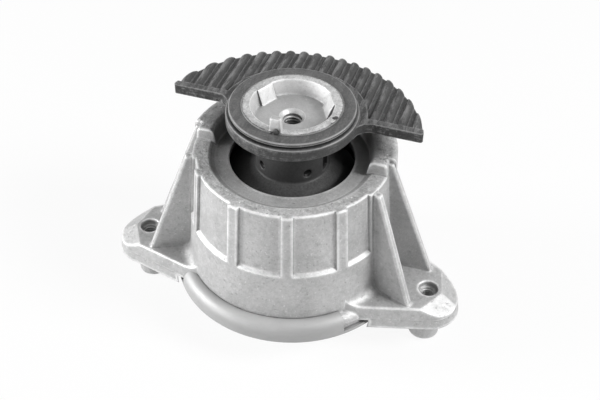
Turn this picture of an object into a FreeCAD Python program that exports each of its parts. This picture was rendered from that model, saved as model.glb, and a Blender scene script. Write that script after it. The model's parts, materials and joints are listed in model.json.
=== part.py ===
import FreeCAD, Part
import math
import os

os.makedirs("parts", exist_ok=True)

# Hydraulic engine mount, in millimetres. The origin is on the mount's axis, on the flat bottom
# of the base cup. +Z runs up through the core's thread, the feet lie along X, and -Y is the front.
# Angles round the axis are in degrees from the front, and grow towards +X.

# ------------------------------------------------------------------ driving sizes
# Feet
FOOT_SPACING = 140.0            # between the two threaded holes
FOOT_LINE_Y = -11.2             # the holes lie this far in front of the axis
FOOT_BELOW_SEAT = 2.4           # underside of the feet below the crimp seat
FOOT_THICKNESS = 11.5
FOOT_END_R = 15.2               # round end, about the hole, at the underside
FOOT_DRAFT = 1.7                # how much narrower the top is, all round
FOOT_FLARE = 23.5               # angle of each side to the foot's own centre line
FOOT_ROOT_DIST = 17.5           # where the flared sides end, from the axis
FOOT_APEX = 6.8                 # hole to the point of the sloped end's upper edge
FOOT_CORNER_BACK = 5.1          # how far that edge falls back at the foot's side
FOOT_CHAMFER_ANGLE = 35.0       # slope of the two end facets below the horizontal
FOOT_ROOT_FILLET = 5.0
FOOT_TAP_R = 3.4                # tapping drill of the M8 feet
FOOT_MOUTH_WALL = 1.2           # how much wider the plain mouth is, all round
FOOT_MOUTH_DEPTH = 2.6
BOSS_WALL = 3.8                 # round the tapped hole
BOSS_BOTTOM_Z = 1.0
BOSS_CHAMFER = 1.0

# Housing casting, from the bore of the stack outwards and from the crimp seat upwards
SEAT_Z = 20.0                   # where the cup's flange meets the housing
STACK_BORE_R = 44.0             # bore that takes the spring's ring, the plates and the bellows
WALL_THICKNESS = 5.4            # outside that bore, at the foot of the wall
WALL_TAPER = 4.4                # how much narrower the wall is at the rim
HOUSING_HEIGHT = 64.6           # seat to rim
RIM_WIDTH = 7.0
RIM_BEVEL = 3.0                 # width of the slope from the rim to the ledge
LEDGE_DROP = 2.0                # ledge below the rim
LEDGE_THICKNESS = 3.0
OPENING_R = 28.5
BELL_STEP = 4.0                 # how much narrower the bell is than the bore below it
BELL_TAPER = 1.5
REAR_WALL_RISE = 6.0            # top of the raised half wall above the rim
REAR_WALL_INSET = 1.5           # its inner face inside the rim's inner edge
REAR_WALL_FRONT_Y = -3.7        # its two end faces
REAR_WALL_ROUND = 2.2
REAR_WALL_SWELL = 2.4           # how far it stands past the rim behind the rear gussets
PANEL_HEIGHT = 32.4             # recessed panels, down from the rim
PANEL_DEPTH = 1.4
PANEL_STEP = 1.1                # height of the sloped step under each panel
PANEL_SPANS = [(-66.0, -56.5), (-50.0, -20.2), (-13.6, 11.4), (18.0, 42.3), (49.0, 66.0)]

# Gussets; each starts with a level step at the wall, and its tip is measured from the foot's hole
GUSSET_THICKNESS = 3.4
GUSSET_ROUND = 0.9
GUSSET_TOE = 1.1                # upright end of each web on the foot
FRONT_GUSSET_ROOT_ANGLE = 70.5
FRONT_GUSSET_TIP = (-6.8, -12.5)
FRONT_GUSSET_DROP = 0.6         # top below the rim
FRONT_GUSSET_STEP = 3.1
REAR_GUSSET_TIP = (-2.2, 12.8)
REAR_GUSSET_DROP = 2.1          # top below the raised wall's
REAR_GUSSET_STEP = 1.8

# Crimped joint between housing and base cup
SHEET = 1.6
CRIMP_OFFSET = 0.2              # lip's centre outside the foot of the wall
CRIMP_RISE = 2.0                # and above the seat
CRIMP_R = 6.0                   # outer radius of the rounded lip
CRIMP_SPANS = [(-51.0, 43.0), (118.0, 242.0)]
NOTCH_CLEARANCE = 1.4           # between the lip's line and the notch under each foot
NOTCH_SLOT = 1.6                # height of the slot between that notch and the cup's flange
PAN_SEAT_WIDTH = 5.5            # flat ring inside the stack bore that carries the bellows' bead
PAN_DRAFT = 2.5                 # how much narrower the pan is at its floor
PAN_BEND = 3.0
VENT_R = 2.0
VENT_Y = 22.0                   # air vent behind the axis

# Core casting, from its top down and from its cup outwards
CORE_RISE = 27.0                # rim of the housing to the core's top
CUP_MOUTH_R = 18.5
CUP_DEPTH = 6.9
CUP_DRAFT = 2.0                 # how much narrower the cup's floor is
CORE_RIM_WIDTH = 3.6
CORE_COLLAR = 4.6               # height of the rim above the flange
CORE_FLANGE_REACH = 2.9         # flange outside the rim
CORE_FLANGE_THICKNESS = 3.2
CORE_TAP_R = 4.25               # tapping drill of the M10 core
CORE_TAP_DEPTH = 26.0
CORE_TAP_CHAMFER = 1.5
NECK_R = 14.5
NECK_CONE = 3.2                 # height and spread of the cone under the flange
SHOULDER_R = 24.0
SHOULDER_DROP = 8.6             # shoulder below the underside of the housing's ledge
SHOULDER_THICKNESS = 4.0
CORE_FOOT_R = 13.0
CORE_FOOT_LENGTH = 23.0         # shoulder to the foot's end
LUG_WIDTH = 8.6
LUG_TOP_INSET = 1.1             # the lug's flat inside the cup's mouth
LUG_FOOT_INSET = 2.1            # and inside the edge of its floor
LUG_ANGLES = [-118.0, 118.0]
TAB_WIDTH = 5.6
TAB_TOP_WIDTH = 4.2
TAB_THICKNESS = 2.6
TAB_HEIGHT = 6.6
TAB_INSET = 1.9                 # the tab's middle inside the rim's outer edge
TAB_ANGLE = -2.5

# Buffer cap: grooved ring and ribbed flap, one rubber moulding
CAP_BELOW_CORE = 0.4            # cap's top below the core's
CAP_WALL = 1.2                  # rubber outside the core's flange
CAP_LIP_REACH = 1.8             # upper lip past the groove's floor
CAP_LIP_THICKNESS = 1.5
CAP_GROOVE_WIDTH = 1.1
CAP_BODY_REACH = 1.4            # lower lip past the upper one
CAP_UNDER = 1.1                 # rubber under the core's flange
CAP_NECK_GAP = 2.0              # cap to the sleeve round the neck
CAP_ROUND = 1.0
FLAP_R = 59.6
FLAP_CENTRE = (0.35, -12.5)
FLAP_FRONT_Y = 2.1
FLAP_TURN = -0.8                # degrees that the cap sits turned on the core
FLAP_FILLET = 7.0
FLAP_THICKNESS = 3.2            # between the ribs
FLAP_CORNER = 1.2
RIB_HEIGHT = 1.5
RIB_WIDTH = 4.3
RIB_PITCH = 6.31
RIB_OFFSET_X = 3.2              # one rib's middle, from the axis
RIB_BORDER = 3.4                # plain strip, as high as the ribs, along the flap's front and the ring

# Main spring
SLEEVE_WALL = 2.0
SLEEVE_TOP_GAP = 0.4            # below the neck's cone
SLEEVE_FILLET = 3.0
SPRING_CROWN = 6.5              # foot of the sleeve above the bumper
BUMPER_REACH = 7.5              # bumper's edge outside the core's shoulder
BUMPER_ROOM = 6.6               # bumper below the underside of the housing's ledge
BUMPER_ROUND = 2.5
SPRING_GROOVE_WIDTH = 5.0       # between the rubber cone and its ring, at the ring's top
SPRING_GROOVE_DEPTH = 2.0
SPRING_EDGE = 2.0               # rubber's lower edge above the ring's foot
BOND_GAP = 0.3                  # drawn between the rubber and the moving core
SLEEVE_HOLE_R = 1.2
SLEEVE_HOLE_RISE = 5.5          # above the foot of the sleeve
SLEEVE_HOLE_ANGLES = [-38.0, 41.0]
SLEEVE_HOLE_DEPTH = 1.2
SLEEVE_SLOT_ANGLE = 80.0
SLEEVE_SLOT_WIDTH = 4.0
SLEEVE_SLOT_DEPTH = 1.2

# Spring's outer ring, channel plates, decoupler and bellows
RING_WALL = 2.4
RING_HEIGHT = 25.5
PLATE_THICKNESS = 6.0
STACK_CLEARANCE = 0.1           # round every piece in the stack bore
CHANNEL_R = 33.0                # middle of the annular fluid channel
CHANNEL_WIDTH = 7.0
CHANNEL_DEPTH = 4.0
CHANNEL_SPAN = (20.0, 340.0)
PORT_SPAN = 14.0
DECOUPLER_R = 19.0
DECOUPLER_THICKNESS = 2.2
DECOUPLER_PLAY = 0.25
CAGE_HOLE_R = 3.0
CAGE_HOLE_PCR = 11.5
CAGE_HOLES = 6
BEAD_THICKNESS = 2.5
BEAD_OVERHANG = 1.5             # bead's inner edge outside the pan's
CLAMP_RING_WIDTH = 2.4
CLAMP_RING_THICKNESS = 1.3
BELLOWS_WALL = 1.2
BELLOWS_PAN_GAP = 0.5           # bellows inside the pan's wall
BELLOWS_SHOULDER = 4.0
BELLOWS_FOLD_R = 25.0
BELLOWS_FOLD_WIDTH = 6.0
BELLOWS_FOLD_RISE = 3.9         # fold above the pan's floor
BELLOWS_CROWN_RISE = 7.5        # crown above the fold

# Details of construction
EMBED = 1.0                     # how deep an added piece starts inside its neighbour
WALL_EMBED = 3.4                # how deep the rear skin reaches into the bell at its foot
CUT = 1.0                       # how far a cutter runs past what it cuts
SKIN = 0.02                     # keeps the panels' lower edge on the wall's own surface
TOL = 0.01
BIG = 400.0

# ------------------------------------------------------------------ worked-out sizes
# Heights
FOOT_BOTTOM_Z = SEAT_Z - FOOT_BELOW_SEAT
FOOT_TOP_Z = FOOT_BOTTOM_Z + FOOT_THICKNESS
CRIMP_CENTRE_Z = SEAT_Z + CRIMP_RISE
WALL_BOTTOM_Z = CRIMP_CENTRE_Z + CRIMP_R
PLATE_BOTTOM_Z = SEAT_Z + BEAD_THICKNESS
PLATE_JOINT_Z = PLATE_BOTTOM_Z + PLATE_THICKNESS
RING_BOTTOM_Z = PLATE_JOINT_Z + PLATE_THICKNESS
RING_TOP_Z = RING_BOTTOM_Z + RING_HEIGHT
RIM_Z = SEAT_Z + HOUSING_HEIGHT
PANEL_BOTTOM_Z = RIM_Z - PANEL_HEIGHT
LEDGE_Z = RIM_Z - LEDGE_DROP
LEDGE_UNDER_Z = LEDGE_Z - LEDGE_THICKNESS
REAR_WALL_Z = RIM_Z + REAR_WALL_RISE
FRONT_GUSSET_TOP_Z = RIM_Z - FRONT_GUSSET_DROP
REAR_GUSSET_TOP_Z = REAR_WALL_Z - REAR_GUSSET_DROP
CORE_TOP_Z = RIM_Z + CORE_RISE
CUP_FLOOR_Z = CORE_TOP_Z - CUP_DEPTH
CORE_FLANGE_TOP_Z = CORE_TOP_Z - CORE_COLLAR
CORE_FLANGE_BOTTOM_Z = CORE_FLANGE_TOP_Z - CORE_FLANGE_THICKNESS
NECK_TOP_Z = CORE_FLANGE_BOTTOM_Z - NECK_CONE
TAB_TOP_Z = CORE_TOP_Z + TAB_HEIGHT
CAP_TOP_Z = CORE_TOP_Z - CAP_BELOW_CORE
CAP_BOTTOM_Z = CORE_FLANGE_BOTTOM_Z - CAP_UNDER
FLAP_TROUGH_Z = CAP_BOTTOM_Z + FLAP_THICKNESS
SHOULDER_Z = LEDGE_UNDER_Z - SHOULDER_DROP
CORE_FOOT_Z = SHOULDER_Z - CORE_FOOT_LENGTH
BUMPER_Z = LEDGE_UNDER_Z - BUMPER_ROOM
SLEEVE_BASE_Z = BUMPER_Z + SPRING_CROWN
SLEEVE_TOP_Z = NECK_TOP_Z - SLEEVE_TOP_GAP
SLEEVE_HOLE_Z = SLEEVE_BASE_Z + SLEEVE_HOLE_RISE
SPRING_GROOVE_Z = RING_TOP_Z - SPRING_GROOVE_DEPTH
BELLOWS_FOLD_Z = SHEET + BELLOWS_FOLD_RISE
BELLOWS_CROWN_Z = BELLOWS_FOLD_Z + BELLOWS_CROWN_RISE
# Radii and places
FOOT_X = FOOT_SPACING / 2.0
FOOT_MOUTH_R = FOOT_TAP_R + FOOT_MOUTH_WALL
BOSS_R = FOOT_TAP_R + BOSS_WALL
WALL_BOTTOM_R = STACK_BORE_R + WALL_THICKNESS
RIM_R = WALL_BOTTOM_R - WALL_TAPER
WALL_DRAFT = WALL_TAPER / (RIM_Z - WALL_BOTTOM_Z)
RIM_INNER_R = RIM_R - RIM_WIDTH
LEDGE_R = RIM_INNER_R - RIM_BEVEL
BELL_R = STACK_BORE_R - BELL_STEP
BELL_TOP_R = BELL_R - BELL_TAPER
REAR_WALL_INNER_R = RIM_INNER_R - REAR_WALL_INSET
REAR_WALL_OUTER_R = RIM_R + REAR_WALL_SWELL
CRIMP_CENTRE_R = WALL_BOTTOM_R + CRIMP_OFFSET
FLANGE_R = CRIMP_CENTRE_R + CRIMP_R - SHEET
PAN_TOP_R = STACK_BORE_R - PAN_SEAT_WIDTH
PAN_R = PAN_TOP_R - PAN_DRAFT
CUP_FLOOR_R = CUP_MOUTH_R - CUP_DRAFT
CORE_RIM_R = CUP_MOUTH_R + CORE_RIM_WIDTH
CORE_FLANGE_R = CORE_RIM_R + CORE_FLANGE_REACH
LUG_TOP_DIST = CUP_MOUTH_R - LUG_TOP_INSET
LUG_FOOT_DIST = CUP_FLOOR_R - LUG_FOOT_INSET
TAB_MID_R = CORE_RIM_R - TAB_INSET
SLEEVE_R = NECK_R + SLEEVE_WALL
CAP_BOTTOM_INNER_R = SLEEVE_R + CAP_NECK_GAP
CAP_GROOVE_R = CORE_FLANGE_R + CAP_WALL
CAP_LIP_R = CAP_GROOVE_R + CAP_LIP_REACH
CAP_BODY_R = CAP_LIP_R + CAP_BODY_REACH
BUMPER_R = SHOULDER_R + BUMPER_REACH
STACK_R = STACK_BORE_R - STACK_CLEARANCE
RING_INNER_R = STACK_R - RING_WALL
SPRING_GROOVE_R = RING_INNER_R - SPRING_GROOVE_WIDTH
BEAD_INNER_R = PAN_TOP_R + BEAD_OVERHANG


# ------------------------------------------------------------------ helpers
def point(r, z):
    """A point of a section: r along +X, z up."""
    return FreeCAD.Vector(r, 0.0, z)


def turned(corners):
    """A full solid of revolution about Z from the (r, z) corners of its section."""
    wire = Part.makePolygon([point(r, z) for r, z in corners + corners[:1]])
    return Part.Face(wire).revolve(FreeCAD.Vector(0, 0, 0), FreeCAD.Vector(0, 0, 1), 360.0)


def turned_edges(edges):
    """The same, from section edges that may hold arcs."""
    face = Part.Face(Part.Wire(Part.sortEdges(edges)[0]))
    return face.revolve(FreeCAD.Vector(0, 0, 0), FreeCAD.Vector(0, 0, 1), 360.0)


def line(a, b):
    """A straight section edge between two (r, z) points."""
    return Part.LineSegment(point(*a), point(*b)).toShape()


def arc(centre, radius, start, end):
    """A section arc; its angles are in degrees from +r towards +z."""
    def at(angle):
        a = math.radians(angle)
        return point(centre[0] + radius * math.cos(a), centre[1] + radius * math.sin(a))
    return Part.Arc(at(start), at((start + end) / 2.0), at(end)).toShape()


def radial(angle):
    """Unit vector at an angle from the front (-Y), growing towards +X."""
    a = math.radians(angle)
    return FreeCAD.Vector(math.sin(a), -math.cos(a), 0.0)


def sector(start, end, bottom, top):
    """A tall pie slice between two angles from the front, for cutting or keeping."""
    reach = BIG
    corners = [FreeCAD.Vector(0, 0, bottom)]
    steps = max(2, int(math.ceil((end - start) / 30.0)) + 1)
    for i in range(steps):
        angle = start + (end - start) * i / (steps - 1)
        corners.append(radial(angle) * reach + FreeCAD.Vector(0, 0, bottom))
    wire = Part.makePolygon(corners + corners[:1])
    return Part.Face(wire).extrude(FreeCAD.Vector(0, 0, top - bottom))


def box(low, high):
    """An axis-aligned block between two corners."""
    size = [h - l for l, h in zip(low, high)]
    return Part.makeBox(size[0], size[1], size[2], FreeCAD.Vector(*low))


def drill(radius, bottom, top, centre=(0.0, 0.0)):
    """A vertical cylinder between two heights."""
    return Part.makeCylinder(radius, top - bottom, FreeCAD.Vector(centre[0], centre[1], bottom))


def half_space(origin, normal):
    """A large block on the side of a plane that the normal points to."""
    block = Part.makeBox(BIG, BIG, BIG, FreeCAD.Vector(-BIG / 2.0, -BIG / 2.0, 0.0))
    block.Placement = FreeCAD.Placement(origin, FreeCAD.Rotation(FreeCAD.Vector(0, 0, 1), normal))
    return block


def mirrored(shape):
    """The same shape on the other side of the YZ plane."""
    return shape.mirror(FreeCAD.Vector(0, 0, 0), FreeCAD.Vector(1, 0, 0))


def save(name, shape):
    """Writes one checked node."""
    shape = shape.removeSplitter()
    if not shape.isValid():
        raise RuntimeError(name + " is not a valid shape")
    shape.exportStep("parts/" + name + ".step")
    print(name, len(shape.Solids), "solid", round(shape.Volume / 1000.0, 2), "cm3")


# ------------------------------------------------------------------ housing
def wall_r(z):
    """Outer radius of the drafted wall at a height."""
    return WALL_BOTTOM_R - WALL_DRAFT * (z - WALL_BOTTOM_Z)


def housing_bell():
    """The bell before its bore: crimp flange, drafted wall, rim, ledge and opening."""
    lip_r = CRIMP_R - SHEET
    lip_top = (CRIMP_CENTRE_R, CRIMP_CENTRE_Z + lip_r)
    wall_foot = (wall_r(lip_top[1]), lip_top[1])
    corners = [
        wall_foot,
        (wall_r(RIM_Z), RIM_Z),
        (RIM_INNER_R, RIM_Z),
        (LEDGE_R, LEDGE_Z),
        (OPENING_R, LEDGE_Z),
        (OPENING_R, SEAT_Z),
        (FLANGE_R, SEAT_Z),
        (FLANGE_R, CRIMP_CENTRE_Z),
    ]
    edges = [line(a, b) for a, b in zip(corners[:-1], corners[1:])]
    edges.append(arc((CRIMP_CENTRE_R, CRIMP_CENTRE_Z), lip_r, 0.0, 90.0))
    edges.append(line(lip_top, wall_foot))
    return turned_edges(edges)


def bell_bore():
    """The room inside the bell: the bore of the stack and the hollow under the ledge."""
    return turned([
        (0.0, SEAT_Z - CUT),
        (STACK_BORE_R, SEAT_Z - CUT),
        (STACK_BORE_R, RING_TOP_Z),
        (BELL_R, RING_TOP_Z),
        (BELL_TOP_R, LEDGE_UNDER_Z),
        (0.0, LEDGE_UNDER_Z),
    ])


def raised_ring(outer_top_r, foot_r, foot_z, front_y):
    """Part of the raised wall behind a plane, with a rounded top and an outer side down to a foot."""
    r = REAR_WALL_ROUND
    base_z = LEDGE_Z - LEDGE_THICKNESS / 2.0
    mid_r = (LEDGE_R + foot_r) / 2.0
    edges = [
        line((mid_r, base_z), (foot_r - WALL_EMBED, foot_z)),
        line((foot_r - WALL_EMBED, foot_z), (foot_r, foot_z)),
        line((foot_r, foot_z), (outer_top_r, REAR_WALL_Z - r)),
        arc((outer_top_r - r, REAR_WALL_Z - r), r, 0.0, 90.0),
        line((outer_top_r - r, REAR_WALL_Z), (REAR_WALL_INNER_R + r, REAR_WALL_Z)),
        arc((REAR_WALL_INNER_R + r, REAR_WALL_Z - r), r, 90.0, 180.0),
        line((REAR_WALL_INNER_R, REAR_WALL_Z - r), (LEDGE_R, base_z)),
        line((LEDGE_R, base_z), (mid_r, base_z)),
    ]
    ring = turned_edges(edges)
    return ring.cut(box((-BIG, -BIG, 0.0), (BIG, front_y, BIG)))


def rear_wall():
    """The raised half wall behind the opening, thicker behind the rear gussets."""
    low_z = RIM_Z - REAR_WALL_ROUND
    thin = raised_ring(wall_r(REAR_WALL_Z), wall_r(low_z), low_z, REAR_WALL_FRONT_Y)
    thick = raised_ring(REAR_WALL_OUTER_R, WALL_BOTTOM_R, WALL_BOTTOM_Z, FOOT_LINE_Y + REAR_GUSSET_TIP[1])
    return thin.fuse(thick)


def foot_outline(end_r, z):
    """Outline of a right-hand foot: a round end about the hole and two flared sides."""
    hole = FreeCAD.Vector(FOOT_X, FOOT_LINE_Y, z)
    outward = FreeCAD.Vector(FOOT_X, FOOT_LINE_Y, 0.0).normalize()
    across = FreeCAD.Vector(-outward.y, outward.x, 0.0)
    flare = math.radians(FOOT_FLARE)
    reach = FOOT_X - FOOT_ROOT_DIST

    def local(a, b):
        return hole + outward * a + across * b

    touch_a = end_r * math.sin(flare)
    touch_b = end_r * math.cos(flare)
    root_a = touch_a - reach
    root_b = touch_b + reach * math.tan(flare)
    edges = [
        Part.Arc(local(touch_a, -touch_b), local(end_r, 0.0), local(touch_a, touch_b)).toShape(),
        Part.LineSegment(local(touch_a, touch_b), local(root_a, root_b)).toShape(),
        Part.LineSegment(local(root_a, root_b), local(root_a, -root_b)).toShape(),
        Part.LineSegment(local(root_a, -root_b), local(touch_a, -touch_b)).toShape(),
    ]
    return Part.Wire(edges), outward, across, hole


def foot():
    """One right-hand foot, drafted, with its two sloped end facets and the boss below."""
    lower, outward, across, _ = foot_outline(FOOT_END_R, FOOT_BOTTOM_Z)
    upper, _, _, hole = foot_outline(FOOT_END_R - FOOT_DRAFT, FOOT_TOP_Z)
    plate = Part.makeLoft([lower, upper], True, True)
    apex = hole + outward * FOOT_APEX
    half_width = FOOT_END_R - FOOT_DRAFT
    slope = math.radians(FOOT_CHAMFER_ANGLE)
    for side in (-1.0, 1.0):
        along = across * (side * half_width) - outward * FOOT_CORNER_BACK
        out = along.cross(FreeCAD.Vector(0, 0, 1)) * side
        out.normalize()
        normal = out * math.sin(slope) + FreeCAD.Vector(0, 0, math.cos(slope))
        plate = plate.cut(half_space(apex, normal))
    return plate


def boss():
    """The round boss under the foot, chamfered at its end."""
    centre = (FOOT_X, FOOT_LINE_Y)
    straight = drill(BOSS_R, BOSS_BOTTOM_Z + BOSS_CHAMFER, FOOT_TOP_Z - FOOT_THICKNESS / 2.0, centre)
    end = Part.makeCone(BOSS_R - BOSS_CHAMFER, BOSS_R, BOSS_CHAMFER,
                        FreeCAD.Vector(centre[0], centre[1], BOSS_BOTTOM_Z))
    return straight.fuse(end)


def foot_hole():
    """Tapped hole right through foot and boss, with a plain mouth at the top."""
    centre = (FOOT_X, FOOT_LINE_Y)
    tap = drill(FOOT_TAP_R, BOSS_BOTTOM_Z - CUT, FOOT_TOP_Z + CUT, centre)
    mouth = drill(FOOT_MOUTH_R, FOOT_TOP_Z - FOOT_MOUTH_DEPTH, FOOT_TOP_Z + CUT, centre)
    return tap.fuse(mouth)


def gusset(root, tip, top_z, step):
    """A web from (root x, y) on the wall, level for a step, then down to (tip x, y) on the foot."""
    root = FreeCAD.Vector(root[0], root[1], 0.0)
    tip = FreeCAD.Vector(tip[0], tip[1], 0.0)
    along = (tip - root).normalize()
    side = FreeCAD.Vector(-along.y, along.x, 0.0) * GUSSET_THICKNESS
    inner = root - along * (WALL_TAPER + PANEL_DEPTH)
    shelf = root + along * step
    base_z = FOOT_TOP_Z - EMBED
    foot_out = tip + along * GUSSET_TOE
    corners = [
        inner + FreeCAD.Vector(0, 0, base_z),
        foot_out + FreeCAD.Vector(0, 0, base_z),
        foot_out + FreeCAD.Vector(0, 0, FOOT_TOP_Z),
        shelf + FreeCAD.Vector(0, 0, top_z),
        inner + FreeCAD.Vector(0, 0, top_z),
    ]
    corners = [c - side * 0.5 for c in corners]
    web = Part.Face(Part.makePolygon(corners + corners[:1])).extrude(side)
    slope = corners[3] - corners[2]
    rounded = [e for e in web.Edges
               if abs(e.Length - slope.Length) < TOL]
    return web.makeFillet(GUSSET_ROUND, rounded)


def front_gusset():
    """The splayed front web of the right-hand foot."""
    root = radial(FRONT_GUSSET_ROOT_ANGLE) * wall_r(FRONT_GUSSET_TOP_Z)
    tip = (FOOT_X + FRONT_GUSSET_TIP[0], FOOT_LINE_Y + FRONT_GUSSET_TIP[1])
    return gusset((root.x, root.y), tip, FRONT_GUSSET_TOP_Z, FRONT_GUSSET_STEP)


def rear_gusset():
    """The rear web of the right-hand foot, parallel to X."""
    root_x = wall_r(REAR_GUSSET_TOP_Z)
    tip = (FOOT_X + REAR_GUSSET_TIP[0], FOOT_LINE_Y + REAR_GUSSET_TIP[1])
    return gusset((root_x, tip[1]), tip, REAR_GUSSET_TOP_Z, REAR_GUSSET_STEP)


def panel(start, end):
    """Cutter for one recessed panel of the wall, open at the rim."""
    top = RIM_Z + CUT
    outside = WALL_BOTTOM_R + CUT
    floor_low = (wall_r(PANEL_BOTTOM_Z + PANEL_STEP) - PANEL_DEPTH, PANEL_BOTTOM_Z + PANEL_STEP)
    band = turned([
        (wall_r(PANEL_BOTTOM_Z) + SKIN, PANEL_BOTTOM_Z),
        floor_low,
        (wall_r(top) - PANEL_DEPTH, top),
        (outside, top),
        (outside, PANEL_BOTTOM_Z),
    ])
    return band.common(sector(start, end, PANEL_BOTTOM_Z - CUT, top + CUT))


def cup_notch():
    """Room under the feet for the base cup's flat flange, with a narrow slot left above it."""
    notch = drill(CRIMP_CENTRE_R + CRIMP_R + NOTCH_CLEARANCE, FOOT_BOTTOM_Z - CUT, SEAT_Z + NOTCH_SLOT)
    return notch.cut(drill(FLANGE_R - EMBED, SEAT_Z, SEAT_Z + 2.0 * NOTCH_SLOT))


def housing():
    """The whole casting."""
    body = housing_bell()
    hollow = drill(wall_r(FOOT_TOP_Z) - EMBED, 0.0, BIG)
    for side in (1, -1):
        piece = foot().cut(hollow).cut(cup_notch())
        body = body.fuse(piece if side == 1 else mirrored(piece))
    body = body.removeSplitter()
    roots = [e for e in body.Edges
             if abs(e.BoundBox.ZMin - FOOT_TOP_Z) < TOL and abs(e.BoundBox.ZMax - FOOT_TOP_Z) < TOL
             and abs(math.hypot(e.CenterOfMass.x, e.CenterOfMass.y)) < WALL_BOTTOM_R]
    body = body.makeFillet(FOOT_ROOT_FILLET, roots)
    body = body.fuse(rear_wall())
    for start, end in PANEL_SPANS:
        body = body.cut(panel(start, end))
    for maker in (boss, front_gusset, rear_gusset):
        body = body.fuse([maker(), mirrored(maker())])
    return body.cut([bell_bore(), foot_hole(), mirrored(foot_hole())])


# ------------------------------------------------------------------ core
def core():
    """Cup, flange, neck and embedded foot of the core, one casting, with its tapped hole."""
    corners = [
        (0.0, CUP_FLOOR_Z),
        (CUP_FLOOR_R, CUP_FLOOR_Z),
        (CUP_MOUTH_R, CORE_TOP_Z),
        (CORE_RIM_R, CORE_TOP_Z),
        (CORE_RIM_R, CORE_FLANGE_TOP_Z),
        (CORE_FLANGE_R, CORE_FLANGE_TOP_Z),
        (CORE_FLANGE_R, CORE_FLANGE_BOTTOM_Z),
        (NECK_R + NECK_CONE, CORE_FLANGE_BOTTOM_Z),
        (NECK_R, NECK_TOP_Z),
        (NECK_R, SHOULDER_Z + SHOULDER_THICKNESS),
        (SHOULDER_R, SHOULDER_Z),
        (SHOULDER_R, SHOULDER_Z - SHOULDER_THICKNESS),
        (CORE_FOOT_R, CORE_FOOT_Z),
        (0.0, CORE_FOOT_Z),
    ]
    body = turned(corners)
    for angle in LUG_ANGLES:
        body = body.fuse(lug(angle))
    body = body.fuse(locating_tab())
    mouth = Part.makeCone(CORE_TAP_R, CORE_TAP_R + CORE_TAP_CHAMFER, CORE_TAP_CHAMFER,
                          FreeCAD.Vector(0, 0, CUP_FLOOR_Z - CORE_TAP_CHAMFER))
    hole = drill(CORE_TAP_R, CUP_FLOOR_Z - CORE_TAP_DEPTH, CUP_FLOOR_Z + CUT)
    return body.cut([mouth, hole])


def lug(angle):
    """A block in the cup's corner whose flat face leans back from the floor."""
    low = CUP_FLOOR_Z - EMBED
    outer = (CUP_MOUTH_R + CORE_RIM_R) / 2.0
    lean = (LUG_TOP_DIST - LUG_FOOT_DIST) / CUP_DEPTH
    profile = [
        FreeCAD.Vector(LUG_FOOT_DIST - EMBED * lean, 0, low),
        FreeCAD.Vector(LUG_TOP_DIST, 0, CORE_TOP_Z),
        FreeCAD.Vector(outer, 0, CORE_TOP_Z),
        FreeCAD.Vector(outer, 0, low),
    ]
    face = Part.Face(Part.makePolygon(profile + profile[:1]))
    block = face.extrude(FreeCAD.Vector(0, LUG_WIDTH, 0))
    block.translate(FreeCAD.Vector(0, -LUG_WIDTH / 2.0, 0))
    block.rotate(FreeCAD.Vector(0, 0, 0), FreeCAD.Vector(0, 0, 1), angle - 90.0)
    return block


def locating_tab():
    """The upright tab on the front of the core's rim, narrower at its top."""
    low = CORE_TOP_Z - EMBED
    half = TAB_WIDTH / 2.0
    half_top = TAB_TOP_WIDTH / 2.0
    y = -TAB_MID_R - TAB_THICKNESS / 2.0
    profile = [
        FreeCAD.Vector(-half, y, low),
        FreeCAD.Vector(half, y, low),
        FreeCAD.Vector(half_top, y, TAB_TOP_Z),
        FreeCAD.Vector(-half_top, y, TAB_TOP_Z),
    ]
    face = Part.Face(Part.makePolygon(profile + profile[:1]))
    tab = face.extrude(FreeCAD.Vector(0, TAB_THICKNESS, 0))
    tab.rotate(FreeCAD.Vector(0, 0, 0), FreeCAD.Vector(0, 0, 1), TAB_ANGLE)
    return tab


# ------------------------------------------------------------------ buffer cap
def cap_ring():
    """The grooved ring that grips the core's flange."""
    lip_bottom = CAP_TOP_Z - CAP_LIP_THICKNESS
    body_top = lip_bottom - CAP_GROOVE_WIDTH
    r = CAP_ROUND
    edges = [
        line((CORE_RIM_R, CAP_TOP_Z), (CAP_LIP_R - r / 2.0, CAP_TOP_Z)),
        arc((CAP_LIP_R - r / 2.0, CAP_TOP_Z - r / 2.0), r / 2.0, 90.0, 0.0),
        line((CAP_LIP_R, CAP_TOP_Z - r / 2.0), (CAP_LIP_R, lip_bottom)),
        line((CAP_LIP_R, lip_bottom), (CAP_GROOVE_R, lip_bottom)),
        line((CAP_GROOVE_R, lip_bottom), (CAP_GROOVE_R, body_top)),
        line((CAP_GROOVE_R, body_top), (CAP_BODY_R - r, body_top)),
        arc((CAP_BODY_R - r, body_top - r), r, 90.0, 0.0),
        line((CAP_BODY_R, body_top - r), (CAP_BODY_R, CAP_BOTTOM_Z + r)),
        arc((CAP_BODY_R - r, CAP_BOTTOM_Z + r), r, 0.0, -90.0),
        line((CAP_BODY_R - r, CAP_BOTTOM_Z), (CAP_BOTTOM_INNER_R, CAP_BOTTOM_Z)),
        line((CAP_BOTTOM_INNER_R, CAP_BOTTOM_Z), (CAP_BOTTOM_INNER_R, CORE_FLANGE_BOTTOM_Z)),
        line((CAP_BOTTOM_INNER_R, CORE_FLANGE_BOTTOM_Z), (CORE_FLANGE_R, CORE_FLANGE_BOTTOM_Z)),
        line((CORE_FLANGE_R, CORE_FLANGE_BOTTOM_Z), (CORE_FLANGE_R, CORE_FLANGE_TOP_Z)),
        line((CORE_FLANGE_R, CORE_FLANGE_TOP_Z), (CORE_RIM_R, CORE_FLANGE_TOP_Z)),
        line((CORE_RIM_R, CORE_FLANGE_TOP_Z), (CORE_RIM_R, CAP_TOP_Z)),
    ]
    return turned_edges(edges)


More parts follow.
